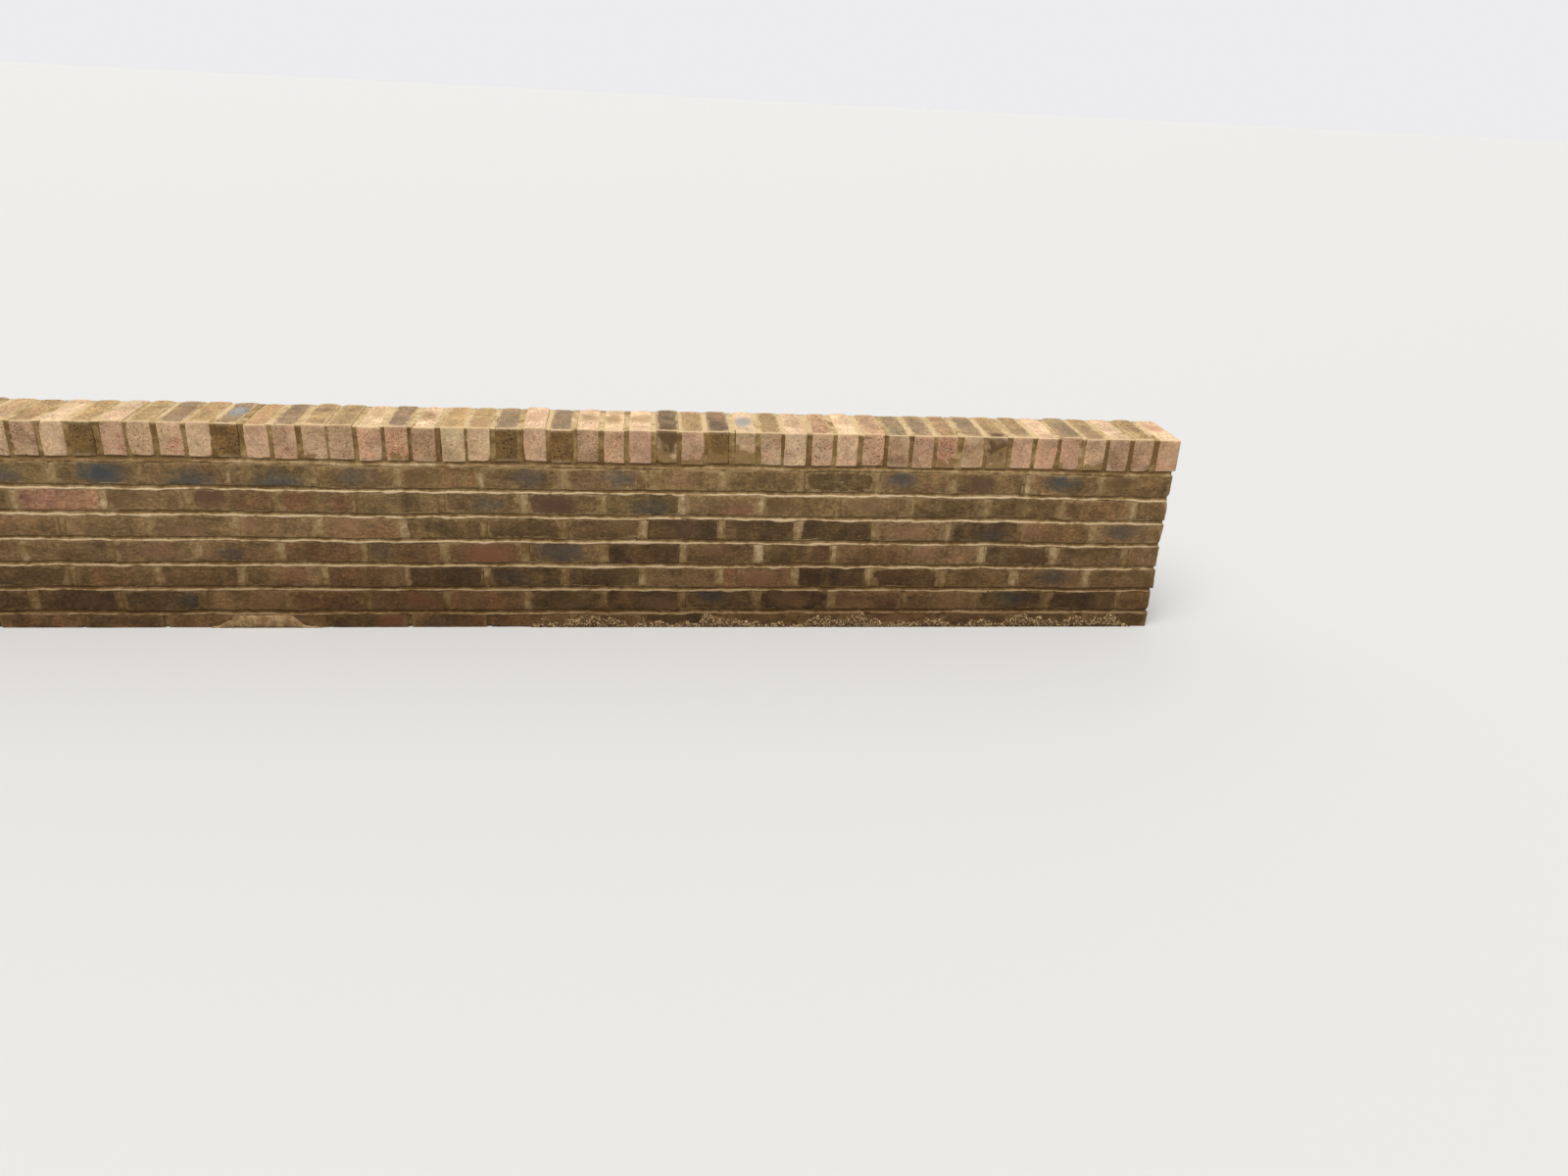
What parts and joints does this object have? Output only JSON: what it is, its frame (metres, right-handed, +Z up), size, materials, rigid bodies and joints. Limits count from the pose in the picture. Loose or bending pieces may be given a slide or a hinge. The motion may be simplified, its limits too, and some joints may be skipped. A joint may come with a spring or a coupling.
{
  "type": "brick garden wall",
  "caption": "Low straight garden wall of brick, one brick thick in stretcher bond with headers at its stopped ends and a brick-on-edge coping; it retains soil behind a terrace.",
  "frame": {"origin": "at ground level, in the middle of the wall's length and thickness", "axes": "+X along the wall to the right as seen from the terrace, +Y from the terrace face through the wall to the garden side, +Z up"},
  "size_m": [4.04, 0.215, 0.6065],
  "materials": {
    "brick": "matt brown multi stock brick",
    "coping_brick": "matt pink and buff multi stock brick",
    "mortar": "sandy buff cement mortar, bucket-handle joint"
  },
  "bodies": {
    "root": {"front_course_1": "brick", "front_course_2": "brick", "front_course_3": "brick", "front_course_4": "brick", "front_course_5": "brick", "front_course_6": "brick", "front_course_7": "brick", "back_course_1": "brick", "back_course_2": "brick", "back_course_3": "brick", "back_course_4": "brick", "back_course_5": "brick", "back_course_6": "brick", "back_course_7": "brick", "left_header_2": "brick", "left_header_4": "brick", "left_header_6": "brick", "right_header_2": "brick", "right_header_4": "brick", "right_header_6": "brick", "collar_joint_1": "mortar", "collar_joint_2": "mortar", "collar_joint_3": "mortar", "collar_joint_4": "mortar", "collar_joint_5": "mortar", "collar_joint_6": "mortar", "collar_joint_7": "mortar", "bed_joint_1": "mortar", "bed_joint_2": "mortar", "bed_joint_3": "mortar", "bed_joint_4": "mortar", "bed_joint_5": "mortar", "bed_joint_6": "mortar", "coping_bed": "mortar", "coping_bay_1": "coping_brick", "coping_bay_2": "coping_brick", "coping_bay_3": "coping_brick", "coping_bay_4": "coping_brick", "coping_bay_5": "coping_brick", "coping_bay_6": "coping_brick"}
  },
  "joints": []
}
